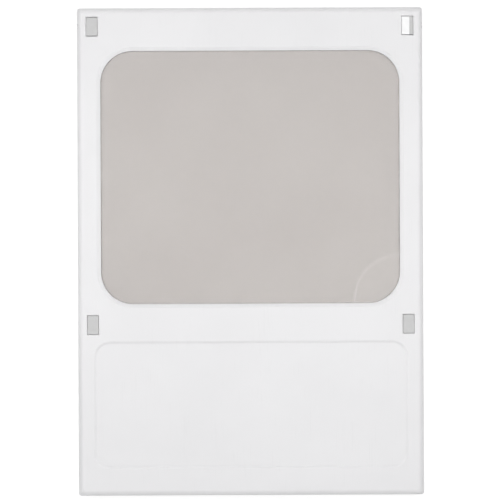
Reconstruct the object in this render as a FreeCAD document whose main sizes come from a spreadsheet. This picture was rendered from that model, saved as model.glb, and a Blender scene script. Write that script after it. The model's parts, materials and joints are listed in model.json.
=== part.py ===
"""Hinged glass carrier for sheet film, in millimetres.

Two moulded leaves of the same outline lie one on the other. Each holds a pane of glass around the gate, and the
film lies flat between the panes. The cover leaf turns on two short pins at the rear, and two register lugs near
the middle enter slots in it so that the leaves close in line. The front third is the handle.

+X is to the right, +Y to the rear (the hinge end) and +Z up. The origin is the centre of the outline, at the
height that the collar under the base leaf stands on.
"""

import FreeCAD, Part
import math
import os
import re

import Sketcher
from FreeCAD import Vector

DIMENSIONS = {
    # outline of both leaves
    "plate_width": 146.8,
    "plate_length": 207.2,
    "corner_radius": 1.3,
    "edge_round": 2.3,
    # heights
    "collar_height": 2.4,
    "base_thickness": 4.0,
    "leaf_gap": 0.2,
    "cover_thickness": 3.4,
    "base_inset": 0.4,
    # gate
    "window_width": 127.0,
    "window_length": 107.5,
    "window_radius": 13.6,
    "window_y": 31.6,
    "gate_bevel": 1.6,
    "gate_bevel_depth": 0.6,
    "collar_rim": 5.0,
    "rim_round": 0.5,
    # panes
    "glass_thickness": 2.0,
    "glass_round": 2.0,
    "glass_chamfer": 0.3,
    "gasket_thickness": 0.3,
    "glass_play": 0.2,
    "wide_overlap": 3.0,
    "narrow_overlap": 1.5,
    # clips that hold the panes
    "clip_thickness": 0.4,
    "clip_width": 14.0,
    "clip_length": 5.0,
    "clip_grip": 1.3,
    "clip_spread": 32.0,
    "clip_hole": 1.8,
    "clip_screw_set": 3.4,
    "relief_depth": 1.3,
    "relief_play": 0.4,
    # slots of the cover leaf
    "slot_width": 4.8,
    "slot_length": 8.1,
    "slot_round": 0.2,
    "slot_lip": 0.5,
    "slot_x": 67.05,
    "rear_slot_y": 95.75,
    "front_slot_y": -31.0,
    # label recess of the handle
    "recess_width": 133.3,
    "recess_length": 54.1,
    "recess_radius": 6.8,
    "recess_y": -65.05,
    "recess_depth": 0.4,
    "recess_slope": 67.0,
    "recess_round": 0.8,
    # hinge
    "hinge_height": 8.3,
    "base_rear_y": 93.5,
    "knuckle_radius": 3.93,
    "knuckle_top": 9.4,
    "knuckle_front": 3.82,
    "knuckle_waist": 3.9,
    "knuckle_width": 4.68,
    "spacer_width": 1.5,
    "spacer_top": 9.3,
    "pin_diameter": 1.6,
    "pin_play": 0.1,
    "pin_inner_x": 58.0,
    "pin_sink": 0.6,
    "pin_recess": 2.4,
    "foot_front_y": 89.0,
    "foot_height": 2.0,
    "foot_reach": 15.0,
    "foot_screw_near": 5.0,
    "foot_screw_far": 11.5,
    "foot_screw_y": 91.2,
    # register lugs
    "lug_width": 4.68,
    "lug_length": 7.9,
    "lug_top": 9.5,
    "lug_seat": 4.0,
    "lug_round": 0.3,
    "lug_chamfer": 0.1,
    # screws
    "screw_diameter": 1.5,
    "screw_length": 2.4,
    "screw_head": 3.0,
    "screw_head_height": 0.6,
    "screw_slot": 0.4,
    "lug_screw_diameter": 2.0,
    "lug_screw_head": 3.6,
    "lug_screw_length": 5.0,
    # closing magnets and their keepers
    "magnet_diameter": 8.0,
    "magnet_height": 2.5,
    "keeper_height": 1.0,
    "magnet_x": 40.0,
    "magnet_y": -97.2,
    # thumb notch in the front edge of the base leaf
    "notch_width": 26.0,
    "notch_depth": 7.0,
    "notch_radius": 5.0,
    # cells cored out of the handle's inner and under faces, with ribs between them
    "core_width": 132.0,
    "core_length": 48.0,
    "core_rib": 2.0,
    "core_radius": 1.5,
    "base_core_depth": 2.0,
    "cover_core_depth": 1.3,
    # witness marks that the ejectors of the mould leave on the inner faces
    "ejector_diameter": 5.0,
    "ejector_depth": 0.1,
    "ejector_near_x": 18.0,
    "ejector_middle_y": -34.5,
    "ejector_far_x": 62.0,
    "ejector_front_y": -96.5,
}

# Heights and edges that several pieces share, written with the names of the sheet.
BASE_BOTTOM = "collar_height"
BASE_TOP = "(collar_height + base_thickness)"
COVER_BOTTOM = f"({BASE_TOP} + leaf_gap)"
COVER_TOP = f"({COVER_BOTTOM} + cover_thickness)"
LOWER_GLASS_BOTTOM = f"({BASE_TOP} - glass_thickness)"
LOWER_LEDGE = f"({LOWER_GLASS_BOTTOM} - gasket_thickness)"
UPPER_GLASS_TOP = f"({COVER_BOTTOM} + glass_thickness)"
LOWER_GLASS = ("(window_width + 2 * wide_overlap)", "(window_length + 2 * narrow_overlap)")
UPPER_GLASS = ("(window_width + 2 * narrow_overlap)", "(window_length + 2 * wide_overlap)")
LOWER_CLIP_EDGE = f"({LOWER_GLASS[0]} / 2 - clip_grip)"
UPPER_CLIP_EDGE = f"({UPPER_GLASS[1]} / 2 - clip_grip)"
SIDES = {"left": -1, "right": 1}
ENDS = {"front": -1, "rear": 1}
CORE_COLUMNS, CORE_ROWS = 6, 3
SMALL = 0.01

doc = FreeCAD.newDocument("SheetFilmCarrier")
sheet = doc.addObject("Spreadsheet::Sheet", "Dims")
for row, (alias, size) in enumerate(DIMENSIONS.items(), start=1):
    sheet.set(f"A{row}", alias)
    sheet.set(f"B{row}", str(size))
    sheet.setAlias(f"B{row}", alias)
doc.recompute()


def bound(text):
    """The same expression with each sheet name written as other objects refer to it."""
    return re.sub(r"[a-z_]{3,}", lambda word: f"Dims.{word.group()}", str(text))


def value(text):
    return float(sheet.evalExpression(bound(text)))


def side_of(sign, text):
    return text if sign > 0 else f"-({text})"


def plane(body, role):
    return next(item for item in body.Origin.OriginFeatures if item.Role == role)


def new_body(label):
    body = doc.addObject("PartDesign::Body", label)
    body.Label = label
    return body


def new_sketch(body, name, level, role="XY_Plane"):
    sketch = body.newObject("Sketcher::SketchObject", name)
    sketch.AttachmentSupport = [(plane(body, role), "")]
    sketch.MapMode = "FlatFace"
    sketch.setExpression("AttachmentOffset.Base.z", bound(level))
    return sketch


def fix(sketch, name, constraint, text):
    sketch.renameConstraint(sketch.addConstraint(constraint), name)
    sketch.setExpression(f"Constraints.{name}", bound(text))


def add_outline(sketch, centre_x, centre_y, width, length, radius):
    """A rounded rectangle, fixed by its four sides and its corner radius."""
    tag = f"n{len(sketch.Geometry)}"
    sides = {
        "left": f"{centre_x} - {width} / 2",
        "right": f"{centre_x} + {width} / 2",
        "bottom": f"{centre_y} - {length} / 2",
        "top": f"{centre_y} + {length} / 2",
    }
    left, right, bottom, top = (value(text) for text in sides.values())
    turn = value(radius)
    corners = [
        Vector(right - turn, bottom + turn, 0),
        Vector(right - turn, top - turn, 0),
        Vector(left + turn, top - turn, 0),
        Vector(left + turn, bottom + turn, 0),
    ]
    arcs = []
    for number, centre in enumerate(corners):
        start = (number - 1) * math.pi / 2
        circle = Part.Circle(centre, Vector(0, 0, 1), turn)
        arcs.append(sketch.addGeometry(Part.ArcOfCircle(circle, start, start + math.pi / 2)))
    lines = []
    for number in range(4):
        first = sketch.getPoint(arcs[number], 2)
        last = sketch.getPoint(arcs[(number + 1) % 4], 1)
        lines.append(sketch.addGeometry(Part.LineSegment(first, last)))
    for number, line in enumerate(lines):
        sketch.addConstraint(Sketcher.Constraint("Tangent", arcs[number], 2, line, 1))
        sketch.addConstraint(Sketcher.Constraint("Tangent", line, 2, arcs[(number + 1) % 4], 1))
    for arc in arcs[1:]:
        sketch.addConstraint(Sketcher.Constraint("Equal", arcs[0], arc))
    fix(sketch, tag + "radius", Sketcher.Constraint("Radius", arcs[0], turn), radius)
    right_side, top_side, left_side, bottom_side = lines
    sketch.addConstraint(Sketcher.Constraint("Vertical", right_side))
    sketch.addConstraint(Sketcher.Constraint("Horizontal", top_side))
    across = {"left": (left_side, left), "right": (right_side, right)}
    along = {"bottom": (bottom_side, bottom), "top": (top_side, top)}
    for name, (line, place) in across.items():
        fix(sketch, tag + name, Sketcher.Constraint("DistanceX", -1, 1, line, 1, place), sides[name])
    for name, (line, place) in along.items():
        fix(sketch, tag + name, Sketcher.Constraint("DistanceY", -1, 1, line, 1, place), sides[name])


def outlines(body, name, level, shapes):
    sketch = new_sketch(body, name, level)
    for shape in shapes:
        add_outline(sketch, *shape)
    return sketch


def circles(body, name, level, diameter, places, role="XY_Plane"):
    sketch = new_sketch(body, name, level, role)
    for number, (across, along) in enumerate(places):
        centre = Vector(value(across), value(along), 0)
        ring = sketch.addGeometry(Part.Circle(centre, Vector(0, 0, 1), value(diameter) / 2))
        fix(sketch, f"size{number}", Sketcher.Constraint("Diameter", ring, value(diameter)), diameter)
        fix(sketch, f"across{number}", Sketcher.Constraint("DistanceX", -1, 1, ring, 3, centre.x), across)
        fix(sketch, f"along{number}", Sketcher.Constraint("DistanceY", -1, 1, ring, 3, centre.y), along)
    return sketch


def pad(body, sketch, length):
    feature = body.newObject("PartDesign::Pad", sketch.Name + "Pad")
    feature.Profile = sketch
    feature.setExpression("Length", bound(length))
    sketch.Visibility = False
    doc.recompute()
    return feature


def cut(body, sketch, depth, forward=False):
    """A pocket from the sketch, against its normal unless forward. It has to take material away."""
    before = body.Shape.Volume
    feature = body.newObject("PartDesign::Pocket", sketch.Name + "Cut")
    feature.Profile = sketch
    feature.setExpression("Length", bound(depth))
    feature.Reversed = forward
    sketch.Visibility = False
    doc.recompute()
    if not body.Shape.Volume < before - SMALL:
        raise RuntimeError(f"{body.Label}: {sketch.Name} cuts nothing")
    return feature


def dress(body, kind, size, wanted):
    """A fillet or chamfer on the edges of the body that wanted(edge) picks."""
    edges = [f"Edge{n}" for n, edge in enumerate(body.Shape.Edges, start=1) if wanted(edge)]
    if not edges:
        raise RuntimeError(f"{body.Label}: no edge to {kind}")
    base = body.Tip
    feature = body.newObject(f"PartDesign::{kind}", f"{body.Label}_{kind}")
    feature.Base = (base, edges)
    feature.setExpression("Radius" if kind == "Fillet" else "Size", bound(size))
    doc.recompute()
    return feature


def lies_at(edge, height):
    box = edge.BoundBox
    return abs(box.ZMin - height) < SMALL and abs(box.ZMax - height) < SMALL


def within(edge, centre_x, centre_y, width, length):
    """True for an edge in the outline with that centre and size."""
    box = edge.BoundBox
    middle = Vector((box.XMin + box.XMax) / 2 - centre_x, (box.YMin + box.YMax) / 2 - centre_y, 0)
    return abs(middle.x) < width / 2 + SMALL and abs(middle.y) < length / 2 + SMALL


def on_outline(edge, centre_x, centre_y, width, length):
    """True for an edge that runs along the outline, its corner arcs included."""
    box = edge.BoundBox
    reaches = (
        abs(abs(box.XMin - centre_x) - width / 2) < SMALL,
        abs(abs(box.XMax - centre_x) - width / 2) < SMALL,
        abs(abs(box.YMin - centre_y) - length / 2) < SMALL,
        abs(abs(box.YMax - centre_y) - length / 2) < SMALL,
    )
    return any(reaches) and within(edge, centre_x, centre_y, width, length)


def clip_places(shift="0"):
    """Centre, across and along, of each screw through a clip of the lower pane and of the upper one."""
    lower, upper = {}, {}
    for side, sign in SIDES.items():
        for end, way in ENDS.items():
            edge = side_of(sign, f"{LOWER_CLIP_EDGE} + {shift}")
            lower[f"{side}_{end}"] = (edge, f"window_y + ({side_of(way, 'clip_spread')})")
            edge = side_of(way, f"{UPPER_CLIP_EDGE} + {shift}")
            upper[f"{side}_{end}"] = (side_of(sign, "clip_spread"), f"window_y + ({edge})")
    return lower, upper


def foot_places():
    """Centres of the screws through the feet of both hinge blocks."""
    inner = "slot_x - knuckle_width / 2"
    steps = ("foot_screw_near", "foot_screw_far")
    return [(side_of(sign, f"{inner} - {step}"), "foot_screw_y") for sign in SIDES.values() for step in steps]


def lug_places():
    return [(side_of(sign, "slot_x"), "front_slot_y") for sign in SIDES.values()]


def magnet_places():
    return [(side_of(sign, "magnet_x"), "magnet_y") for sign in SIDES.values()]


def ejector_places():
    near = ("ejector_near_x", "ejector_middle_y")
    far = ("ejector_far_x", "ejector_front_y")
    return [(side_of(sign, across), along) for across, along in (near, far) for sign in SIDES.values()]


def make_base_leaf():
    body = new_body("base_leaf")
    length = "(plate_length / 2 - base_inset + base_rear_y)"
    centre = "(base_rear_y - plate_length / 2 + base_inset) / 2"
    width = "(plate_width - 2 * base_inset)"
    pad(body, outlines(body, "BaseOutline", BASE_BOTTOM, [("0", centre, width, length, "corner_radius")]),
        "base_thickness")
    collar = ("0", "window_y", "(window_width + 2 * collar_rim)", "(window_length + 2 * collar_rim)",
              "(window_radius + collar_rim)")
    pad(body, outlines(body, "Collar", "0", [collar]), "collar_height")
    window = ("0", "window_y", "window_width", "window_length", "window_radius")
    cut(body, outlines(body, "BaseWindow", "0", [window]), BASE_TOP, forward=True)
    seat = ("0", "window_y", f"({LOWER_GLASS[0]} + 2 * glass_play)", f"({LOWER_GLASS[1]} + 2 * glass_play)",
            "glass_round")
    cut(body, outlines(body, "LowerSeat", BASE_TOP, [seat]), "glass_thickness + gasket_thickness")
    cut_clip_reliefs(body, "BaseRelief", BASE_TOP, clip_places("clip_length / 2")[1], upper=True)
    cut_hinge_seats(body)
    cut_lug_seats(body)
    cut(body, circles(body, "MagnetSeats", BASE_TOP, "magnet_diameter", magnet_places()), "magnet_height")
    screws = list(clip_places("clip_screw_set")[0].values())
    cut(body, circles(body, "ClipPilots", BASE_TOP, "screw_diameter", screws), "screw_length")
    pilots = circles(body, "FootPilots", f"({BASE_TOP} - foot_height)", "screw_diameter", foot_places())
    cut(body, pilots, "foot_height / 2")
    notch = ("0", "-(plate_length / 2)", "notch_width", "(2 * notch_depth)", "notch_radius")
    cut(body, outlines(body, "ThumbNotch", BASE_TOP, [notch]), "base_thickness")
    cut(body, circles(body, "BaseEjectors", BASE_TOP, "ejector_diameter", ejector_places()), "ejector_depth")
    core_out(body, "BaseCore", BASE_BOTTOM, "base_core_depth")
    bottom = value(BASE_BOTTOM)
    collar_size = (value(collar[2]), value(collar[3]))
    dress(body, "Fillet", "rim_round", lambda edge: lies_at(edge, 0) and on_outline(
        edge, 0, value("window_y"), *collar_size))
    dress(body, "Fillet", "rim_round", lambda edge: lies_at(edge, bottom) and on_outline(
        edge, 0, value(centre), value(width), value(length)))
    return body


def cut_clip_reliefs(body, name, level, places, upper):
    """Shallow pockets in one leaf that clear the other leaf's clips and their screw heads."""
    size = ("(clip_width + 2 * relief_play)", "(clip_length + 2 * relief_play)")
    if not upper:
        size = size[::-1]
    shapes = [(f"({across})", f"({along})", *size, "slot_round") for across, along in places.values()]
    cut(body, outlines(body, name, level, shapes), "relief_depth", forward=not upper)


def core_out(body, name, level, depth):
    """A grid of cells in the handle part, cut upwards from level, as a moulding has to keep its walls even."""
    width = f"((core_width + core_rib) / {CORE_COLUMNS} - core_rib)"
    length = f"((core_length + core_rib) / {CORE_ROWS} - core_rib)"
    across = f"(({width} - core_width) / 2)"
    cells = []
    for row in range(CORE_ROWS):
        along = f"(recess_y + ({length} + core_rib) * ({row} - {CORE_ROWS - 1} / 2))"
        cells.append((across, along, width, length, "core_radius"))
    column = cut(body, outlines(body, name, level, cells), depth, forward=True)
    before = body.Shape.Volume
    pattern = body.newObject("PartDesign::LinearPattern", name + "Pattern")
    pattern.Originals = [column]
    pattern.Direction = (plane(body, "X_Axis"), [""])
    pattern.setExpression("Length", bound(f"(core_width - {width})"))
    pattern.Occurrences = CORE_COLUMNS
    body.Tip = pattern
    doc.recompute()
    if not body.Shape.Volume < before - SMALL:
        raise RuntimeError(f"{body.Label}: the pattern of {name} cuts nothing")


def cut_hinge_seats(body):
    """Pockets at the rear edge for the feet of the hinge blocks."""
    inner = "(slot_x - knuckle_width / 2 - foot_reach - glass_play)"
    outer = "(slot_x + knuckle_width / 2 + glass_play)"
    depth = "(base_rear_y - foot_front_y + glass_play)"
    shapes = []
    for sign in SIDES.values():
        middle = side_of(sign, f"({inner} + {outer}) / 2")
        shapes.append((f"({middle})", "base_rear_y", f"({outer} - {inner})", f"(2 * {depth})", "slot_round"))
    cut(body, outlines(body, "HingeSeats", BASE_TOP, shapes), "foot_height")


def cut_lug_seats(body):
    """Square seats for the register lugs, and the countersunk holes of their screws from below."""
    size = ("(lug_width + glass_play)", "(lug_length + glass_play)")
    shapes = [(f"({across})", along, *size, "slot_round") for across, along in lug_places()]
    cut(body, outlines(body, "LugSeats", BASE_TOP, shapes), f"({BASE_TOP} - lug_seat)")
    through = circles(body, "LugHoles", BASE_BOTTOM, "lug_screw_diameter", lug_places())
    cut(body, through, "lug_seat - collar_height", forward=True)
    heads = circles(body, "LugHeads", BASE_BOTTOM, "lug_screw_head", lug_places())
    cut(body, heads, "screw_head_height", forward=True)


def make_cover_leaf():
    body = new_body("cover_leaf")
    outline = ("0", "0", "plate_width", "plate_length", "corner_radius")
    pad(body, outlines(body, "CoverOutline", COVER_BOTTOM, [outline]), "cover_thickness")
    window = ("0", "window_y", "window_width", "window_length", "window_radius")
    cut(body, outlines(body, "CoverWindow", COVER_TOP, [window]), "cover_thickness")
    seat = ("0", "window_y", f"({UPPER_GLASS[0]} + 2 * glass_play)", f"({UPPER_GLASS[1]} + 2 * glass_play)",
            "glass_round")
    cut(body, outlines(body, "UpperSeat", COVER_BOTTOM, [seat]), "glass_thickness + gasket_thickness",
        forward=True)
    slots = []
    for along in ("rear_slot_y", "front_slot_y"):
        for sign in SIDES.values():
            slots.append((f"({side_of(sign, 'slot_x')})", along, "slot_width", "slot_length", "slot_round"))
    cut(body, outlines(body, "Slots", COVER_TOP, slots), "cover_thickness")
    recess = ("0", "recess_y", "recess_width", "recess_length", "recess_radius")
    field = cut(body, outlines(body, "LabelRecess", COVER_TOP, [recess]), "recess_depth")
    field.setExpression("TaperAngle", bound("-recess_slope"))
    doc.recompute()
    ejectors = circles(body, "CoverEjectors", COVER_BOTTOM, "ejector_diameter", ejector_places())
    cut(body, ejectors, "ejector_depth", forward=True)
    core_out(body, "CoverCore", COVER_BOTTOM, "cover_core_depth")
    cut_clip_reliefs(body, "CoverRelief", COVER_BOTTOM, clip_places("clip_length / 2")[0], upper=False)
    cut(body, circles(body, "KeeperSeats", COVER_BOTTOM, "magnet_diameter", magnet_places()), "keeper_height",
        forward=True)
    screws = list(clip_places("clip_screw_set")[1].values())
    cut(body, circles(body, "CoverPilots", COVER_BOTTOM, "screw_diameter", screws), "screw_length",
        forward=True)
    top = value(COVER_TOP)
    plate = (0, 0, value("plate_width"), value("plate_length"))
    dress(body, "Fillet", "edge_round", lambda edge: lies_at(edge, top) and on_outline(edge, *plate))
    cut_pin_bores(body)
    gate = (0, value("window_y"), value("window_width"), value("window_length"))
    bevel = dress(body, "Chamfer", "gate_bevel", lambda edge: lies_at(edge, top) and on_outline(edge, *gate))
    bevel.ChamferType = "Two distances"
    bevel.setExpression("Size2", bound("gate_bevel_depth"))
    doc.recompute()
    dress(body, "Fillet", "slot_lip", lambda edge: lies_at(edge, top) and in_slot(edge))
    label = (0, value("recess_y"), value("recess_width"), value("recess_length"))
    heights = (top, top - value("recess_depth"))
    dress(body, "Fillet", "recess_round", lambda edge: any(
        lies_at(edge, height) and within(edge, *label) for height in heights))
    return body


def in_slot(edge):
    """True for an edge of the cover leaf's four slots."""
    size = (value("slot_width"), value("slot_length"))
    places = [(sign * value("slot_x"), value(y)) for sign in (-1, 1) for y in ("rear_slot_y", "front_slot_y")]
    return any(within(edge, *place, *size) for place in places)


def cut_pin_bores(body):
    """Bores for the hinge pins from both long edges, with a wider shallow mouth."""
    place = [("rear_slot_y", "hinge_height")]
    depths = (("pin_diameter", "plate_width / 2 - pin_inner_x", "PinBore"),
              ("pin_recess", "pin_sink", "PinMouth"))
    for side, sign in SIDES.items():
        for diameter, depth, name in depths:
            outside = side_of(sign, "plate_width / 2")
            bore = circles(body, name + side.title(), outside, diameter, place, "YZ_Plane")
            cut(body, bore, depth, forward=sign < 0)


def make_glass(label, level, size):
    body = new_body(label)
    shape = ("0", "window_y", *size, "glass_round")
    pad(body, outlines(body, label + "Outline", level, [shape]), "glass_thickness")
    faces = (value(level), value(f"{level} + glass_thickness"))
    dress(body, "Chamfer", "glass_chamfer", lambda edge: any(lies_at(edge, height) for height in faces))
    return body


def make_gasket(label, level, size):
    """A flat resilient frame between a pane and the ledge that it seats on."""
    body = new_body(label)
    shape = ("0", "window_y", *size, "glass_round")
    pad(body, outlines(body, label + "Outline", level, [shape]), "gasket_thickness")
    hole = ("0", "window_y", "window_width", "window_length", "window_radius")
    cut(body, outlines(body, label + "Hole", level, [hole]), "gasket_thickness", forward=True)
    return body


def make_clip(label, level, middle, screw, size):
    body = new_body(label)
    shape = (f"({middle[0]})", f"({middle[1]})", *size, "slot_round")
    pad(body, outlines(body, label + "Outline", level, [shape]), "clip_thickness")
    cut(body, circles(body, label + "Hole", level, "clip_hole", [screw]), "clip_thickness", forward=True)
    return body


def make_clips():
    middles = clip_places("clip_length / 2")
    screws = clip_places("clip_screw_set")
    levels = (BASE_TOP, f"({COVER_BOTTOM} - clip_thickness)")
    sizes = (("clip_length", "clip_width"), ("clip_width", "clip_length"))
    clips = []
    for number, leaf in enumerate(("lower", "upper")):
        for place, middle in middles[number].items():
            name = f"{leaf}_clip_{place}"
            clips.append(make_clip(name, levels[number], middle, screws[number][place], sizes[number]))
    return clips


def make_hinge_block(side, sign):
    """A knuckle that stands up through a rear slot, on a foot let into the base leaf. The right knuckle is
    narrower, and a spacer takes up the rest of its slot."""
    body = new_body(f"hinge_block_{side}")
    width = "knuckle_width"
    inner = "(slot_x - knuckle_width / 2)"
    if side == "right":
        width = "(knuckle_width - spacer_width)"
    start = inner if sign > 0 else f"-({inner} + {width})"
    profile = new_sketch(body, f"KnuckleProfile{side.title()}", start, "YZ_Plane")
    draw_knuckle(profile)
    pad(body, profile, width)
    foot_inner = f"({inner} - foot_reach)"
    middle = side_of(sign, f"({inner} + {foot_inner} + slot_round * 2) / 2")
    foot = (f"({middle})", "(foot_front_y + base_rear_y) / 2", "(foot_reach + slot_round * 2)",
            "(base_rear_y - foot_front_y)", "slot_round")
    level = f"({BASE_TOP} - foot_height)"
    pad(body, outlines(body, f"Foot{side.title()}", level, [foot]), "foot_height")
    bore = circles(body, f"KnuckleBore{side.title()}", start, "(pin_diameter + pin_play)",
                   [("rear_slot_y", "hinge_height")], "YZ_Plane")
    cut(body, bore, width, forward=True)
    places = [place for place in foot_places() if value(place[0]) * sign > 0]
    cut(body, circles(body, f"FootHoles{side.title()}", BASE_TOP, "screw_diameter", places), "foot_height")
    cut(body, circles(body, f"FootHeads{side.title()}", BASE_TOP, "screw_head", places), "screw_head_height")
    return body


def make_hinge_spacer():
    """A flat-topped disc on the right pin, between the knuckle and the outer wall of the slot."""
    body = new_body("hinge_spacer_right")
    start = "(slot_x + knuckle_width / 2 - spacer_width)"
    place = [("rear_slot_y", "hinge_height")]
    disc = circles(body, "SpacerDisc", start, "(2 * knuckle_radius - pin_play)", place, "YZ_Plane")
    pad(body, disc, "spacer_width")
    bore = circles(body, "SpacerBore", start, "(pin_diameter + pin_play)", place, "YZ_Plane")
    cut(body, bore, "spacer_width", forward=True)
    above = ("slot_x", "rear_slot_y", "(2 * slot_width)", "(2 * slot_length)", "slot_round")
    cut(body, outlines(body, "SpacerTop", "spacer_top", [above]), "knuckle_radius", forward=True)
    return body


def draw_knuckle(sketch):
    """Side view of the knuckle: a round rear and underside about the hinge axis, a flat top that slopes off to
    the front face, and the stem down into the foot."""
    axis = Vector(value("rear_slot_y"), value("hinge_height"), 0)
    radius = value("knuckle_radius")
    top = value("knuckle_top")
    front = axis.x - value("knuckle_front")
    rear = axis.x + math.sqrt(radius ** 2 - (top - axis.y) ** 2)
    stem_rear = value("base_rear_y")
    stem_meets = axis.y - math.sqrt(radius ** 2 - (axis.x - stem_rear) ** 2)
    foot_top = value(BASE_TOP)
    foot_bottom = foot_top - value("foot_height")
    foot_front = value("foot_front_y")
    waist = axis.x - value("knuckle_waist")
    corners = [
        Vector(rear, top, 0),
        Vector(front, top, 0),
        Vector(waist, axis.y, 0),
        Vector(waist, foot_top, 0),
        Vector(foot_front, foot_top, 0),
        Vector(foot_front, foot_bottom, 0),
        Vector(stem_rear, foot_bottom, 0),
        Vector(stem_rear, stem_meets, 0),
    ]
    lines = [sketch.addGeometry(Part.LineSegment(a, b)) for a, b in zip(corners, corners[1:])]
    first = math.atan2(stem_meets - axis.y, stem_rear - axis.x)
    last = math.atan2(top - axis.y, rear - axis.x)
    arc = sketch.addGeometry(Part.ArcOfCircle(Part.Circle(axis, Vector(0, 0, 1), radius), first, last))
    for before, after in zip(lines, lines[1:]):
        sketch.addConstraint(Sketcher.Constraint("Coincident", before, 2, after, 1))
    sketch.addConstraint(Sketcher.Constraint("Coincident", lines[-1], 2, arc, 1))
    sketch.addConstraint(Sketcher.Constraint("Coincident", arc, 2, lines[0], 1))
    upper, slope, front_face, foot_face, foot_end, foot_under, stem = lines
    for line in (upper, foot_face, foot_under):
        sketch.addConstraint(Sketcher.Constraint("Horizontal", line))
    for line in (front_face, foot_end, stem):
        sketch.addConstraint(Sketcher.Constraint("Vertical", line))
    distances = {
        "axis_y": ("DistanceX", arc, 3, axis.x, "rear_slot_y"),
        "axis_z": ("DistanceY", arc, 3, axis.y, "hinge_height"),
        "top": ("DistanceY", upper, 1, top, "knuckle_top"),
        "front": ("DistanceX", slope, 1, front, "rear_slot_y - knuckle_front"),
        "waist_y": ("DistanceX", front_face, 1, waist, "rear_slot_y - knuckle_waist"),
        "waist_z": ("DistanceY", front_face, 1, axis.y, "hinge_height"),
        "foot_top": ("DistanceY", foot_face, 1, foot_top, BASE_TOP),
        "foot_front": ("DistanceX", foot_end, 1, foot_front, "foot_front_y"),
        "foot_bottom": ("DistanceY", foot_under, 1, foot_bottom, f"{BASE_TOP} - foot_height"),
        "stem_rear": ("DistanceX", stem, 1, stem_rear, "base_rear_y"),
    }
    for name, (kind, item, point, place, text) in distances.items():
        fix(sketch, name, Sketcher.Constraint(kind, -1, 1, item, point, place), text)
    fix(sketch, "round", Sketcher.Constraint("Radius", arc, radius), "knuckle_radius")


def make_register_lug(side, sign):
    body = new_body(f"register_lug_{side}")
    shape = (f"({side_of(sign, 'slot_x')})", "front_slot_y", "lug_width", "lug_length", "lug_round")
    pad(body, outlines(body, f"Lug{side.title()}", "lug_seat", [shape]), "lug_top - lug_seat")
    place = (side_of(sign, "slot_x"), "front_slot_y")
    depth = f"lug_screw_length - ({BASE_TOP} - lug_seat)"
    cut(body, circles(body, f"LugPilot{side.title()}", "lug_seat", "lug_screw_diameter", [place]), depth,
        forward=True)
    top = value("lug_top")
    dress(body, "Chamfer", "lug_chamfer", lambda edge: lies_at(edge, top))
    return body


def cylinder(name, diameter, length, across, along, level):
    shape = doc.addObject("Part::Cylinder", name)
    shape.setExpression("Radius", bound(f"({diameter}) / 2"))
    shape.setExpression("Height", bound(length))
    for letter, text in zip("xyz", (across, along, level)):
        shape.setExpression(f"Placement.Base.{letter}", bound(text))
    return shape


def make_screw(name, diameter, head, length, head_height, across, along, level, up):
    """A slotted screw. level is the face that its head stands on, and up says which way the head points."""
    shank_from = f"{level} - {length}" if up else level
    head_from = level if up else f"{level} - {head_height}"
    shank = cylinder(name + "Shank", diameter, length, across, along, shank_from)
    cap = cylinder(name + "Head", head, head_height, across, along, head_from)
    blank = doc.addObject("Part::Fuse", name + "Blank")
    blank.Base, blank.Tool = shank, cap
    slot = doc.addObject("Part::Box", name + "Slot")
    depth = f"{head_height} / 2"
    slot_from = f"{level} + {depth}" if up else f"{level} - {head_height}"
    sizes = {"Length": f"{head} * 2", "Width": "screw_slot", "Height": depth}
    for key, text in sizes.items():
        slot.setExpression(key, bound(text))
    corner = (f"{across} - {head}", f"{along} - screw_slot / 2", slot_from)
    for letter, text in zip("xyz", corner):
        slot.setExpression(f"Placement.Base.{letter}", bound(text))
    screw = doc.addObject("Part::Cut", name)
    screw.Base, screw.Tool = blank, slot
    return screw


def make_screws(label, places, level, up, sizes):
    """All screws of one kind in one group, each a solid of its own."""
    diameter, head, length, head_height = sizes
    group = doc.addObject("Part::Compound", label)
    group.Label = label
    stem = label.title().replace("_", "")
    group.Links = [
        make_screw(f"{stem}{number}", diameter, head, length, head_height, across, along, level, up)
        for number, (across, along) in enumerate(places, start=1)
    ]
    return group


def make_all_screws():
    lower, upper = clip_places("clip_screw_set")
    clip_sizes = ("screw_diameter", "screw_head", "(screw_length + clip_thickness)", "screw_head_height")
    foot_sizes = ("screw_diameter", "screw_head", "(foot_height * 3 / 2 - screw_head_height)",
                  "screw_head_height")
    lug_length = f"(lug_screw_length - ({BASE_TOP} - lug_seat) + lug_seat - collar_height - screw_head_height)"
    lug_sizes = ("lug_screw_diameter", "lug_screw_head", lug_length, "screw_head_height")
    above = f"({BASE_TOP} + clip_thickness)"
    below = f"({COVER_BOTTOM} - clip_thickness)"
    sunk = f"({BASE_TOP} - screw_head_height)"
    under = f"({BASE_BOTTOM} + screw_head_height)"
    return [
        make_screws("lower_clip_screws", lower.values(), above, True, clip_sizes),
        make_screws("upper_clip_screws", upper.values(), below, False, clip_sizes),
        make_screws("hinge_block_screws", foot_places(), sunk, True, foot_sizes),
        make_screws("register_lug_screws", lug_places(), under, False, lug_sizes),
    ]


def make_hinge_pin(side, sign):
    """A plain steel pin with a rounded outer end, pressed into the cover leaf and turning in the knuckle."""
    body = new_body(f"hinge_pin_{side}")
    length = "(plate_width / 2 - pin_sink - pin_inner_x)"
    start = "pin_inner_x" if sign > 0 else "-(plate_width / 2 - pin_sink)"
    place = [("rear_slot_y", "hinge_height")]
    pad(body, circles(body, f"Pin{side.title()}", start, "pin_diameter", place, "YZ_Plane"), length)
    dress(body, "Chamfer", "pin_play * 2", lambda edge: len(edge.Vertexes) == 1)
    return body


def make_disc(label, height, level, place):
    body = new_body(label)
    pad(body, circles(body, label + "Round", level, "magnet_diameter", [place]), height)
    dress(body, "Chamfer", "pin_play * 2", lambda edge: len(edge.Vertexes) == 1)
    return body


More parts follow.
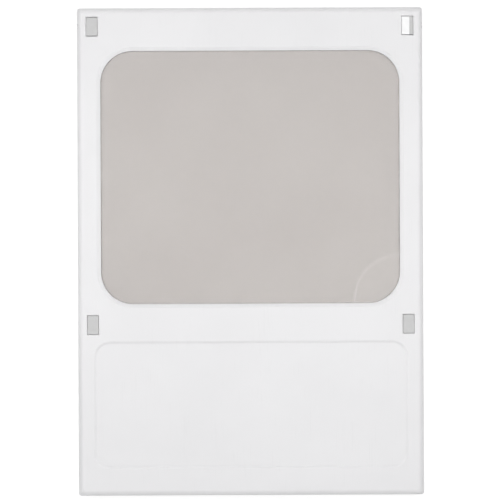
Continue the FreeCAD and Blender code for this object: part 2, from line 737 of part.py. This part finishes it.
def make_everything():
    made = [make_base_leaf(), make_cover_leaf()]
    made.append(make_glass("lower_glass", LOWER_GLASS_BOTTOM, LOWER_GLASS))
    made.append(make_glass("upper_glass", COVER_BOTTOM, UPPER_GLASS))
    made.append(make_gasket("lower_gasket", LOWER_LEDGE, LOWER_GLASS))
    made.append(make_gasket("upper_gasket", UPPER_GLASS_TOP, UPPER_GLASS))
    made += make_clips()
    for number, (side, sign) in enumerate(SIDES.items()):
        made.append(make_hinge_block(side, sign))
        made.append(make_hinge_pin(side, sign))
        made.append(make_register_lug(side, sign))
        place = magnet_places()[number]
        made.append(make_disc(f"magnet_{side}", "magnet_height", f"({BASE_TOP} - magnet_height)", place))
        made.append(make_disc(f"keeper_{side}", "keeper_height", COVER_BOTTOM, place))
    made.append(make_hinge_spacer())
    made += make_all_screws()
    doc.recompute()
    return made


def write_parts(made):
    for item in doc.Objects:
        if "Invalid" in item.State or "Error" in item.State:
            raise RuntimeError(f"{item.Label} failed: {item.State}")
    for item in made:
        if item.Shape.isNull() or not item.Shape.isValid() or not item.Shape.Solids:
            raise RuntimeError(f"{item.Label} has no valid solid")
    os.makedirs("parts", exist_ok=True)
    for item in made:
        item.Shape.exportStep(f"parts/{item.Label}.step")
        box = item.Shape.BoundBox
        print(f"{item.Label}: {len(item.Shape.Solids)} solid(s), z {box.ZMin:.2f} to {box.ZMax:.2f}")


write_parts(make_everything())
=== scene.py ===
import json
import math

import bpy
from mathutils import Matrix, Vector


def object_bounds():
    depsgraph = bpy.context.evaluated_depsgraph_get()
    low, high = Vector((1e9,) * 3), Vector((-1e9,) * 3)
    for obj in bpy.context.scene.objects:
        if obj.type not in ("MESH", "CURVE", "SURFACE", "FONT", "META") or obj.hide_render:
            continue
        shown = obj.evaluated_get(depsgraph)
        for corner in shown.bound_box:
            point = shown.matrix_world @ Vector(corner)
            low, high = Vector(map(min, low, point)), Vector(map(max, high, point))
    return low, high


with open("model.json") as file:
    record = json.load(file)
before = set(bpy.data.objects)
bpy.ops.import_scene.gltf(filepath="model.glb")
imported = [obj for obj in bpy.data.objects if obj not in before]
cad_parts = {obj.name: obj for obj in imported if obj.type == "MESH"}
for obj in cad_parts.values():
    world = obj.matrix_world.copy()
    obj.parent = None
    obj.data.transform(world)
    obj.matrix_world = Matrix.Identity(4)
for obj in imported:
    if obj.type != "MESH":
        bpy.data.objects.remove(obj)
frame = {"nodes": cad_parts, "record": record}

MM = 0.001
cad_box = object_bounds()
nodes = frame["nodes"]
top = cad_box[1].z

# colours
WHITE_PLASTIC = (0.80, 0.796, 0.806)
PANE_DARK = (0.798, 0.768, 0.750, 1)
PANE_LIGHT = (0.815, 0.787, 0.769, 1)
REFLECTION_ARC_COLOUR = (0.9, 0.88, 0.86, 1)
GLASS_DUST = (0.9, 0.89, 0.88, 1)

# softened edges of the materials, and the reach of the painted shade in inner corners
MOULDED_EDGE = 0.15 * MM
CUT_EDGE = 0.12 * MM
HARD_EDGE = 0.1 * MM
CORNER_SHADE_REACH = 2.0 * MM

# the painted reflection on the panes: a lighter arc about the front right corner of the gate, with a slightly
# lighter corner inside it
REFLECTION_ARC_X, REFLECTION_ARC_Y, REFLECTION_ARC_RADIUS = 63.4 * MM, -21.4 * MM, 19.5 * MM

# lays of the metals: across and along the lines
ROLLED = (0.2 * MM, 4 * MM)
TURNED = (0.08 * MM, 0.6 * MM)
GROUND = (0.1 * MM, 0.1 * MM)

# table
FLOOR_HALF = 2.0
FLOOR_GLOW = 0.72

# softboxes: name, place in metres, size in metres and power in watts
SOFTBOXES = (
    ("overhead", (-0.03, 0.0, 0.70), 0.60, 2.0),
    ("left", (-0.21, 0.04, 0.33), 0.20, 0.46),
    ("right", (0.21, 0.02, 0.34), 0.20, 0.46),
    ("rear", (0.0, 0.42, 0.13), 0.20, 0.11),
    ("front", (0.0, -0.42, 0.13), 0.20, 0.12),
)
WORLD_STRENGTH = 0.2


# ---- node helpers -------------------------------------------------------------------------------------------

class Tree:
    """Builds one material's node tree."""

    def __init__(self, name):
        self.material = bpy.data.materials.new(name)
        self.material.use_nodes = True
        self.tree = self.material.node_tree
        self.tree.nodes.clear()
        self.shader = self.add("ShaderNodeBsdfPrincipled")
        output = self.add("ShaderNodeOutputMaterial")
        self.link(self.shader.outputs["BSDF"], output.inputs["Surface"])
        self.place = self.add("ShaderNodeTexCoord").outputs["Object"]

    def add(self, kind, **settings):
        node = self.tree.nodes.new(kind)
        for key, value in settings.items():
            setattr(node, key, value)
        return node

    def link(self, source, target):
        self.tree.links.new(source, target)

    def feed(self, node, name, value):
        if hasattr(value, "is_output"):
            self.link(value, node.inputs[name])
        else:
            node.inputs[name].default_value = value

    def mapped(self, scale=(1, 1, 1), turn=0.0, shift=(0, 0, 0)):
        """The place, scaled, turned by degrees about Z and shifted."""
        node = self.add("ShaderNodeMapping")
        self.link(self.place, node.inputs["Vector"])
        node.inputs["Scale"].default_value = scale
        node.inputs["Rotation"].default_value = (0, 0, math.radians(turn))
        node.inputs["Location"].default_value = shift
        return node.outputs["Vector"]

    def noise(self, size, detail=2.0, roughness=0.5, place=None):
        """Noise whose blobs are about size metres across."""
        node = self.add("ShaderNodeTexNoise")
        self.link(place or self.place, node.inputs["Vector"])
        self.feed(node, "Scale", 1.0 / size)
        self.feed(node, "Detail", detail)
        self.feed(node, "Roughness", roughness)
        return node.outputs["Fac"]

    def span(self, value, from_low, from_high, to_low, to_high):
        node = self.add("ShaderNodeMapRange", clamp=True)
        self.feed(node, "Value", value)
        for name, number in zip(("From Min", "From Max", "To Min", "To Max"),
                                (from_low, from_high, to_low, to_high)):
            self.feed(node, name, number)
        return node.outputs["Result"]

    def maths(self, operation, first, second=0.0):
        node = self.add("ShaderNodeMath", operation=operation)
        self.feed(node, 0, first)
        self.feed(node, 1, second)
        return node.outputs["Value"]

    def vector(self, operation, output, *values):
        node = self.add("ShaderNodeVectorMath", operation=operation)
        for index, value in enumerate(values):
            self.feed(node, index, value)
        return node.outputs[output]

    def mix(self, share, first, second):
        node = self.add("ShaderNodeMix", data_type="RGBA")
        for index, value in ((0, share), (6, first), (7, second)):
            self.feed(node, index, value)
        return node.outputs[2]

    def specks(self, spacing, size, share):
        """A mask of small round dots: one in each cell, kept in a share of the cells only."""
        node = self.add("ShaderNodeTexVoronoi")
        self.link(self.place, node.inputs["Vector"])
        self.feed(node, "Scale", 1.0 / spacing)
        parts = self.add("ShaderNodeSeparateColor")
        self.link(node.outputs["Color"], parts.inputs["Color"])
        kept = self.maths("LESS_THAN", parts.outputs["Red"], share)
        spread = self.maths("MULTIPLY", parts.outputs["Green"], size / spacing)
        return self.maths("MULTIPLY", kept, self.maths("LESS_THAN", node.outputs["Distance"], spread))

    def hairlines(self, width, length, turn, amount):
        """A mask of thin scratches along one direction, in patches. A larger amount gives fewer."""
        lines = self.noise(1.0, 1.0, place=self.mapped((1 / width, 1 / length, 1 / length), turn))
        patches = self.noise(length / 2, 1.0)
        return self.maths("MULTIPLY", self.span(lines, amount, amount + 0.03, 0.0, 1.0),
                          self.span(patches, 0.5, 0.6, 0.0, 1.0))

    def soft_edges(self, radius):
        """The normal with sharp edges eased over the radius, and a mask that is 1 on those edges."""
        eased = self.add("ShaderNodeBevel", samples=4)
        eased.inputs["Radius"].default_value = radius
        flat = self.add("ShaderNodeNewGeometry").outputs["Normal"]
        agree = self.vector("DOT_PRODUCT", "Value", eased.outputs["Normal"], flat)
        return eased.outputs["Normal"], self.span(agree, 0.8, 0.98, 1.0, 0.0)

    def painted_corner_shade(self, reach):
        """A mask that is 1 in inner corners narrower than the reach, used to paint shade into those corners.
        """
        node = self.add("ShaderNodeAmbientOcclusion", samples=8)
        node.inputs["Distance"].default_value = reach
        return self.span(node.outputs["AO"], 0.8, 0.985, 1.0, 0.0)

    def bump(self, height, distance, strength=1.0, under=None):
        node = self.add("ShaderNodeBump")
        self.feed(node, "Height", height)
        self.feed(node, "Distance", distance)
        self.feed(node, "Strength", strength)
        if under is not None:
            self.link(under, node.inputs["Normal"])
        return node.outputs["Normal"]

    def set(self, **values):
        for name, value in values.items():
            self.feed(self.shader, name.replace("_", " "), value)


def grey(level, warmth=0.0):
    """A grey of that level, warmer or, with a negative warmth, cooler."""
    return (level * (1 + warmth), level, level * (1 - warmth), 1.0)


def shade(colour, level):
    """The colour made lighter or darker, and never brighter than a clean white."""
    return (*(min(part * level, 0.95) for part in colour[:3]), 1.0)


# ---- materials ----------------------------------------------------------------------------------------------

def moulded(name, colour, rough, grain_size, scuffs):
    """Moulded plastic: spark-eroded grain, faint flow clouds, hairline scratches, edges rubbed smooth and
    painted slightly lighter as a painted highlight, and painted shade in inner corners.
    """
    t = Tree(name)
    normal, edge = t.soft_edges(MOULDED_EDGE)
    clouds = t.noise(34 * MM, 4.0, 0.55)
    grain = t.noise(grain_size, 2.0, 0.6)
    long_scratch = t.hairlines(0.35 * MM, 26 * MM, 17, scuffs)
    scratch = t.maths("MAXIMUM", long_scratch, t.hairlines(0.3 * MM, 18 * MM, -64, scuffs))
    body = t.mix(t.span(clouds, 0.35, 0.65, 0.0, 1.0), shade(colour, 0.985), shade(colour, 1.01))
    scratched = t.mix(t.maths("MULTIPLY", scratch, 0.35), body, shade(colour, 0.93))
    # painted shade: inner corners, steps and recess edges are darkened by an occlusion mask
    corner_shaded = t.mix(t.maths("MULTIPLY", t.painted_corner_shade(CORNER_SHADE_REACH), 0.4), scratched, shade(colour, 0.78))
    # painted highlight: edges made slightly lighter; the lower roughness on them further down is real rubbing
    t.set(Base_Color=t.mix(t.maths("MULTIPLY", edge, 0.5), corner_shaded, shade(colour, 1.04)))
    satin = t.span(t.noise(5 * MM, 3.0, 0.6), 0.3, 0.7, rough - 0.04, rough + 0.04)
    dulled = t.maths("ADD", satin, t.maths("MULTIPLY", scratch, 0.12))
    t.set(Roughness=t.maths("SUBTRACT", dulled, t.maths("MULTIPLY", edge, 0.1)))
    relief = t.maths("SUBTRACT", grain, t.maths("MULTIPLY", scratch, 0.8))
    t.set(Normal=t.bump(relief, 0.02 * MM, 0.6, normal))
    t.shader.inputs["Specular IOR Level"].default_value = 0.4
    return t.material


def turned_plastic(name, colour):
    """Hard plastic cut to shape: close tool lines along the piece, a slight sheen and a painted highlight on
    its edges.
    """
    t = Tree(name)
    normal, edge = t.soft_edges(CUT_EDGE)
    lines = t.noise(1.0, 2.0, place=t.mapped((1 / (0.12 * MM), 1 / (6 * MM), 1 / (0.5 * MM))))
    clouds = t.noise(2.5 * MM, 3.0)
    body = t.mix(t.span(clouds, 0.3, 0.7, 0.0, 1.0), shade(colour, 0.96), shade(colour, 1.03))
    # painted highlight: cut edges made lighter
    t.set(Base_Color=t.mix(t.maths("MULTIPLY", edge, 0.6), body, shade(colour, 1.15)))
    t.set(Roughness=t.span(lines, 0.3, 0.7, 0.34, 0.46), Normal=t.bump(lines, 0.012 * MM, 0.5, normal))
    return t.material


def pane_glass():
    """Tinted glass with a fine etched face against Newton's rings. A painted reflection, a lighter arc with a
    slightly lighter corner inside it, crosses the front right corner, and a few specks of dust lie on it."""
    t = Tree("pane_glass")
    normal, _ = t.soft_edges(HARD_EDGE)
    etch = t.noise(0.22 * MM, 3.0, 0.6)
    clouds = t.noise(45 * MM, 2.0, 0.5)
    from_corner = t.vector("LENGTH", "Value", t.mapped((1, 1, 0), shift=(-REFLECTION_ARC_X, -REFLECTION_ARC_Y, 0)))
    waver = t.maths("MULTIPLY", t.maths("SUBTRACT", t.noise(14 * MM, 2.0), 0.5), 5 * MM)
    across = t.maths("SUBTRACT", t.maths("ADD", from_corner, waver), REFLECTION_ARC_RADIUS)
    inside = t.span(across, -0.3 * MM, 0.3 * MM, 1.0, 0.0)
    line = t.span(t.maths("ABSOLUTE", across), 0.15 * MM, 0.9 * MM, 1.0, 0.0)
    dust = t.specks(17 * MM, 0.55 * MM, 0.35)
    glass = t.mix(t.span(clouds, 0.35, 0.65, 0.0, 1.0), PANE_DARK, PANE_LIGHT)
    # painted reflection: a lighter arc line and a slightly lighter corner inside it, standing in for a
    # reflection on the pane
    painted_reflection = t.maths("ADD", t.maths("MULTIPLY", inside, 0.08), t.maths("MULTIPLY", line, 0.5))
    reflected = t.mix(painted_reflection, glass, REFLECTION_ARC_COLOUR)
    t.set(Base_Color=t.mix(t.maths("MULTIPLY", dust, 0.5), reflected, GLASS_DUST))
    frosted = t.span(etch, 0.3, 0.7, 0.13, 0.21)
    t.set(Roughness=t.maths("SUBTRACT", frosted, t.maths("MULTIPLY", inside, 0.04)))
    t.set(Normal=t.bump(etch, 0.01 * MM, 0.35, normal))
    t.shader.inputs["Transmission Weight"].default_value = 0.8
    return t.material


def rubber():
    """Pale silicone strip with a talc bloom."""
    t = Tree("seal_rubber")
    fine = t.noise(0.4 * MM, 3.0)
    bloom = t.noise(6 * MM, 4.0, 0.65)
    t.set(Base_Color=t.mix(t.span(bloom, 0.35, 0.65, 0.0, 1.0), grey(0.62, 0.02), grey(0.72, 0.015)))
    t.set(Roughness=t.span(fine, 0.3, 0.7, 0.7, 0.85), Normal=t.bump(fine, 0.03 * MM, 0.5))
    return t.material


def metal(name, colour, rough, lay, mottle):
    """Metal with a lay of fine lines over soft blotches, and edges rubbed bright."""
    t = Tree(name)
    normal, edge = t.soft_edges(HARD_EDGE)
    across, along = lay
    lines = t.noise(1.0, 3.0, 0.6, t.mapped((1 / across, 1 / along, 1 / across)))
    blotches = t.noise(mottle, 4.0, 0.6)
    body = t.mix(lines, shade(colour, 0.88), shade(colour, 1.04))
    stained = t.mix(t.span(blotches, 0.45, 0.75, 0.0, 0.5), body, shade(colour, 0.72))
    t.set(Base_Color=t.mix(t.maths("MULTIPLY", edge, 0.5), stained, shade(colour, 1.2)))
    lined = t.span(lines, 0.3, 0.7, rough, rough + 0.1)
    t.set(Roughness=t.maths("ADD", lined, t.span(blotches, 0.4, 0.8, 0, 0.12)))
    t.set(Normal=t.bump(lines, 0.008 * MM, 0.5, normal))
    t.shader.inputs["Metallic"].default_value = 1.0
    return t.material


def floor_material():
    """Matt white table, lit from within, with a faint texture of its own."""
    t = Tree("studio_floor")
    fine = t.noise(1.5 * MM, 3.0)
    t.set(Base_Color=t.mix(fine, grey(0.39), grey(0.41)), Roughness=0.9, Normal=t.bump(fine, 0.05 * MM, 0.2))
    t.set(Emission_Color=(1.0, 1.0, 1.0, 1), Emission_Strength=FLOOR_GLOW)
    return t.material


def dress_nodes():
    """Gives each CAD node the finish of its material slot."""
    finishes = {
        "white_plastic": moulded("white_plastic", WHITE_PLASTIC, 0.44, 0.32 * MM, 0.66),
        "white_acetal": turned_plastic("white_acetal", grey(0.94)),
        "grey_acetal": turned_plastic("grey_acetal", grey(0.54)),
        "pane_glass": pane_glass(),
        "seal_rubber": rubber(),
        "spring_steel": metal("spring_steel", grey(0.60, 0.01), 0.26, ROLLED, 3 * MM),
        "screw_steel": metal("screw_steel", grey(0.55), 0.28, TURNED, 1.2 * MM),
        "pin_steel": metal("pin_steel", grey(0.62), 0.18, TURNED, 2 * MM),
        "nickel": metal("nickel", grey(0.66, 0.03), 0.14, GROUND, 2.5 * MM),
        "keeper_steel": metal("keeper_steel", grey(0.58, -0.02), 0.3, ROLLED, 1.6 * MM),
    }
    for entry in frame["record"]["subparts"]:
        piece = nodes[entry["node"]]
        piece.data.materials.clear()
        piece.data.materials.append(finishes[entry["material_slot"]])


# ---- stage --------------------------------------------------------------------------------------------------

def make_floor():
    """A white lit table, like the sweep of a product studio, so the carrier throws next to no shadow."""
    half = FLOOR_HALF
    data = bpy.data.meshes.new("floor")
    corners = [(-half, -half, 0), (half, -half, 0), (half, half, 0), (-half, half, 0)]
    data.from_pydata(corners, [], [(0, 1, 2, 3)])
    floor = bpy.data.objects.new("floor", data)
    bpy.context.scene.collection.objects.link(floor)
    data.materials.append(floor_material())


def area_light(name, place, size, power):
    """A square softbox turned to the carrier's middle."""
    data = bpy.data.lights.new(name, "AREA")
    data.shape = "SQUARE"
    data.size = size
    data.energy = power
    lamp = bpy.data.objects.new(name, data)
    lamp.location = place
    lamp.rotation_euler = (-Vector(place)).to_track_quat("-Z", "Y").to_euler()
    bpy.context.scene.collection.objects.link(lamp)


def make_lights():
    """A dim white surround and the softboxes."""
    world = bpy.data.worlds.new("studio")
    world.use_nodes = True
    background = world.node_tree.nodes["Background"]
    background.inputs["Color"].default_value = (1.0, 1.0, 1.0, 1)
    background.inputs["Strength"].default_value = WORLD_STRENGTH
    bpy.context.scene.world = world
    for softbox in SOFTBOXES:
        area_light(*softbox)


def make_camera():
    """Straight above the closed carrier, and far enough for next to no perspective."""
    distance = 1.6
    view_width = 212.3 * MM
    aim_x, aim_y = -0.21 * MM, 0.62 * MM
    turn = -0.25
    data = bpy.data.cameras.new("camera")
    data.sensor_width = 36.0
    data.lens = data.sensor_width * distance / view_width
    camera = bpy.data.objects.new("camera", data)
    camera.location = (aim_x, aim_y, top + distance)
    camera.rotation_euler = (0, 0, math.radians(turn))
    bpy.context.scene.collection.objects.link(camera)
    bpy.context.scene.camera = camera
    bpy.context.scene.view_settings.view_transform = "Standard"


dress_nodes()
make_floor()
make_lights()
make_camera()
